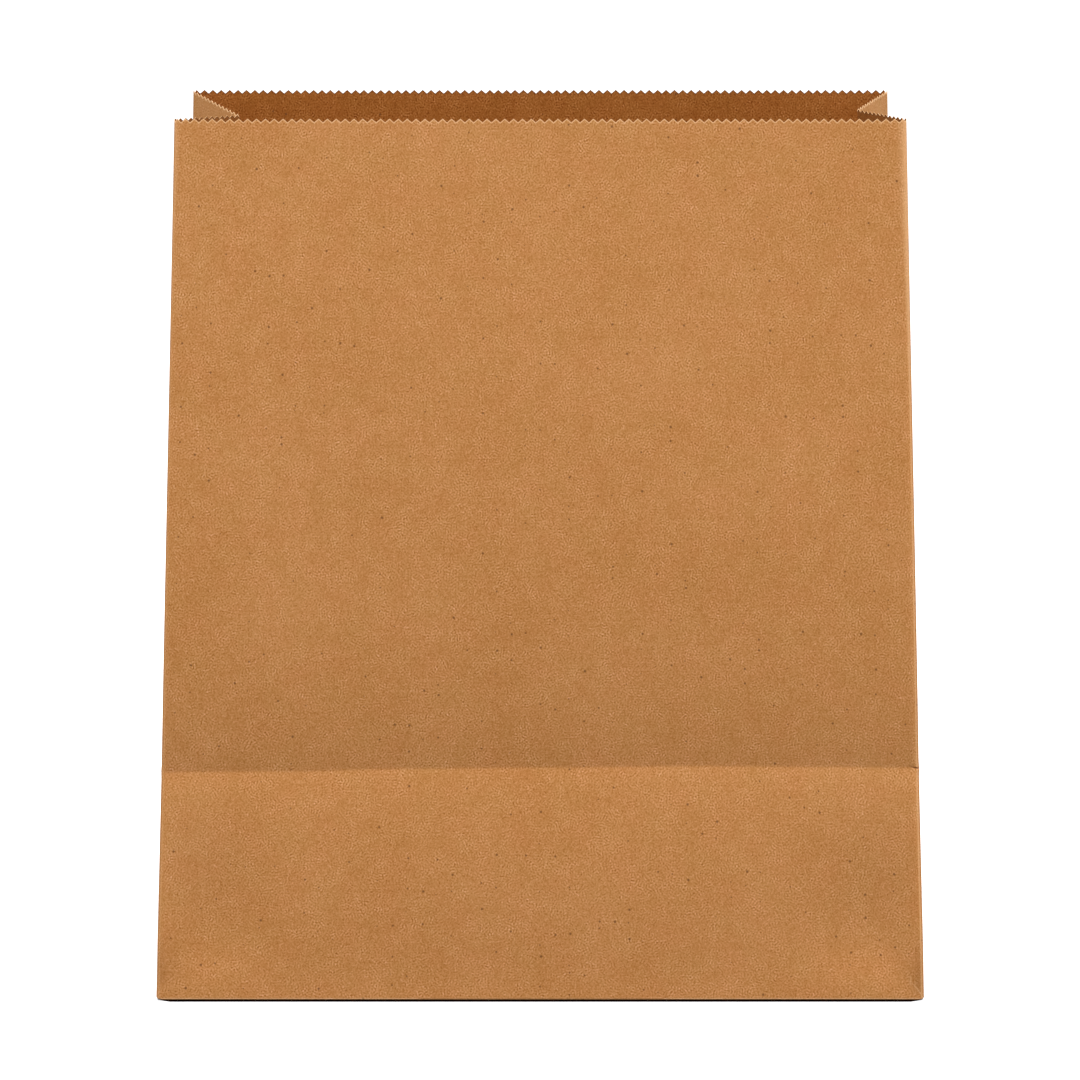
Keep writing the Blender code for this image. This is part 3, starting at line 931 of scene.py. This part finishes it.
class StudioSettings(bpy.types.PropertyGroup):
    """The floor, the lights and the camera."""

    floor: colour_property("Floor", "Colour of the floor", (0.93, 0.93, 0.93))
    bounce: colour_property("Floor bounce", "Colour of the light that the floor throws back", (0.35, 0.35, 0.35))
    key_power: FloatProperty(name="Key light", description="Power of the overhead softbox", default=325.0, unit="POWER")
    fill_power: FloatProperty(name="Fill light", description="Power of the front softbox", default=15.0, unit="POWER")
    dome: FloatProperty(name="Dome", description="Strength of the white surround", default=0.25)
    lens: FloatProperty(name="Lens", description="Focal length for a 36 mm sensor, in mm", default=245.33)
    camera_distance: length_property("Camera distance", "From the bag's front edge to the camera", 2.87768)
    camera_height: length_property("Camera height", "Height of the camera above the floor", 0.535642)
    camera_pitch: FloatProperty(
        name="Camera pitch", description="Angle the camera looks down", default=math.radians(6.9519), subtype="ANGLE"
    )


class PAPERBAG_OT_fold_sheet(bpy.types.Operator):
    """Fold the bag's sheet: front, back, gussets and bottom flaps"""

    bl_idname = "paperbag.fold_sheet"
    bl_label = "Fold sheet"

    def execute(self, context):
        sheet = FoldedSheet(context.scene.bag_sizes)
        materials = kraft_materials(context.scene.bag_colours, sheet)
        thick_piece("bag_sheet", sheet_mesh(sheet), sheet.paper, materials)
        return {"FINISHED"}


class PAPERBAG_OT_glue_seam(bpy.types.Operator):
    """Glue the lap seam down the back"""

    bl_idname = "paperbag.glue_seam"
    bl_label = "Glue lap seam"

    def execute(self, context):
        sizes = context.scene.bag_sizes
        sheet = FoldedSheet(sizes)
        materials = kraft_materials(context.scene.bag_colours, sheet)
        thick_piece("lap_seam", seam_mesh(sheet, sizes.seam_lap), 2 * sheet.paper, materials)
        return {"FINISHED"}


class PAPERBAG_OT_fold_corners(bpy.types.Operator):
    """Fold the four corner triangles in between the bottom flaps"""

    bl_idname = "paperbag.fold_corners"
    bl_label = "Fold corners"

    def execute(self, context):
        sheet = FoldedSheet(context.scene.bag_sizes)
        materials = kraft_materials(context.scene.bag_colours, sheet)
        thick_piece("corner_folds", corner_fold_mesh(sheet), sheet.paper * 0.9, materials)
        return {"FINISHED"}


def softbox(name, place, target, width, height, power, colour=(1.0, 1.0, 1.0)):
    """An area light at a place, facing a target."""
    data = bpy.data.lights.new(name, "AREA")
    data.shape = "RECTANGLE"
    data.size = width
    data.size_y = height
    data.energy = power
    data.color = colour
    light = bpy.data.objects.new(name, data)
    bpy.context.scene.collection.objects.link(light)
    light.location = place
    aim = np.array(target) - np.array(place)
    flat = math.hypot(aim[0], aim[1])
    light.rotation_euler = (math.atan2(flat, -aim[2]), 0, math.atan2(-aim[0], aim[1]))
    return light


def floor_material(studio, sizes):
    """Matt white, lit and glowing up to plain white away from the bag, with a dark brown painted shadow right under it.

    The light that it throws back up on the bag is that of a duller floor, as under a flagged softbox.
    """
    material = bpy.data.materials.new("white_floor")
    material.use_nodes = True
    tree = material.node_tree
    shader = tree.nodes["Principled BSDF"]
    shader.inputs["Roughness"].default_value = 1.0
    shader.inputs["Specular IOR Level"].default_value = 0.0
    place = tree.nodes.new("ShaderNodeTexCoord")
    away = tree.nodes.new("ShaderNodeVectorMath")
    away.operation = "LENGTH"
    feed(tree, away.inputs[0], place.outputs["Object"])
    split = tree.nodes.new("ShaderNodeSeparateXYZ")
    feed(tree, split.inputs[0], place.outputs["Object"])
    # Painted shadow: inside the bag's footprint, its corners cut off, the floor is dark brown and has no glow; outside
    # is 1 beyond the footprint
    beside = value_node(tree, "SUBTRACT", value_node(tree, "ABSOLUTE", split.outputs[0]), sizes.base_width / 2)
    before = value_node(tree, "SUBTRACT", value_node(tree, "ABSOLUTE", split.outputs[1]), sizes.base_depth / 2)
    corner = value_node(tree, "ADD", value_node(tree, "ADD", beside, before), 0.0055)
    edge = value_node(tree, "MAXIMUM", value_node(tree, "MAXIMUM", beside, before), corner)
    outside = remap(tree, edge, -0.0009, 0.0003)
    feed(tree, shader.inputs["Base Color"], tint(tree, "MIX", outside, (0.06, 0.02, 0.005, 1.0), (*studio.floor, 1.0)))
    glow = remap(tree, away.outputs["Value"], 0.0, 0.35, 0.4, 1.0)
    shader.inputs["Emission Color"].default_value = (1.0, 1.0, 1.0, 1.0)
    feed(tree, shader.inputs["Emission Strength"], value_node(tree, "MULTIPLY", glow, outside))
    bounce = tree.nodes.new("ShaderNodeBsdfDiffuse")
    bounce.inputs["Color"].default_value = (*studio.bounce, 1.0)
    seen = tree.nodes.new("ShaderNodeLightPath")
    either = tree.nodes.new("ShaderNodeMixShader")
    feed(tree, either.inputs[0], seen.outputs["Is Camera Ray"])
    feed(tree, either.inputs[1], bounce.outputs[0])
    feed(tree, either.inputs[2], shader.outputs[0])
    feed(tree, tree.nodes["Material Output"].inputs["Surface"], either.outputs[0])
    return material


class PAPERBAG_OT_set_stage(bpy.types.Operator):
    """Set up the white floor, the softboxes and the camera"""

    bl_idname = "paperbag.set_stage"
    bl_label = "Set stage"

    def execute(self, context):
        studio = context.scene.bag_studio
        reach = np.array([-60.0, 60.0])
        corners = np.array([(x, y, 0.0) for y in reach for x in reach])
        mesh = bpy.data.meshes.new("floor")
        mesh.from_pydata(corners.tolist(), [], [(0, 1, 3, 2)])
        mesh.materials.append(floor_material(studio, context.scene.bag_sizes))
        floor = bpy.data.objects.new("floor", mesh)
        context.scene.collection.objects.link(floor)

        world = bpy.data.worlds.new("studio")
        world.use_nodes = True
        background = world.node_tree.nodes["Background"]
        background.inputs[0].default_value = (1.0, 1.0, 1.0, 1.0)
        background.inputs[1].default_value = studio.dome
        context.scene.world = world

        middle = (0.0, 0.0, 0.2)
        softbox("key_softbox", (0.2, -2.2, 5.0), middle, 4.0, 2.4, studio.key_power)
        cool = (0.93, 1.0, 1.13)
        softbox("right_softbox", (2.0, -0.28, 0.8), middle, 1.0, 1.0, studio.fill_power * 1.4, (0.93, 1.04, 1.24))
        softbox("left_softbox", (-1.9, -0.45, 0.8), middle, 1.0, 1.0, studio.fill_power * 0.95, cool)

        data = bpy.data.cameras.new("camera")
        data.lens = studio.lens
        data.sensor_width = 36.0
        data.clip_start = 0.05
        data.clip_end = 300.0
        camera = bpy.data.objects.new("camera", data)
        context.scene.collection.objects.link(camera)
        camera.location = (-0.00008, -0.092 - studio.camera_distance, studio.camera_height)
        camera.rotation_euler = (math.pi / 2 - studio.camera_pitch, 0.0, 0.0)
        context.scene.camera = camera
        context.scene.view_settings.view_transform = "Standard"
        return {"FINISHED"}


class PAPERBAG_PT_sidebar(bpy.types.Panel):
    """The steps that make the bag, and what can be changed"""

    bl_idname = "PAPERBAG_PT_sidebar"
    bl_label = "Paper bag"
    bl_space_type = "VIEW_3D"
    bl_region_type = "UI"
    bl_category = "Paper bag"

    def draw(self, context):
        for group in (context.scene.bag_sizes, context.scene.bag_colours, context.scene.bag_studio):
            box = self.layout.box()
            for name in group.bl_rna.properties.keys():
                if name not in ("rna_type", "name"):
                    box.prop(group, name)
        for operator in OPERATORS:
            self.layout.operator(operator.bl_idname)


OPERATORS = (PAPERBAG_OT_fold_sheet, PAPERBAG_OT_glue_seam, PAPERBAG_OT_fold_corners, PAPERBAG_OT_set_stage)
CLASSES = (BagSizes, BagColours, StudioSettings, *OPERATORS, PAPERBAG_PT_sidebar)


def register():
    for cls in CLASSES:
        bpy.utils.register_class(cls)
    bpy.types.Scene.bag_sizes = PointerProperty(type=BagSizes)
    bpy.types.Scene.bag_colours = PointerProperty(type=BagColours)
    bpy.types.Scene.bag_studio = PointerProperty(type=StudioSettings)


def unregister():
    del bpy.types.Scene.bag_studio
    del bpy.types.Scene.bag_colours
    del bpy.types.Scene.bag_sizes
    for cls in reversed(CLASSES):
        bpy.utils.unregister_class(cls)


def main():
    register()
    bpy.ops.paperbag.fold_sheet()
    bpy.ops.paperbag.glue_seam()
    bpy.ops.paperbag.fold_corners()
    bpy.ops.paperbag.set_stage()


if __name__ == "__main__":
    main()
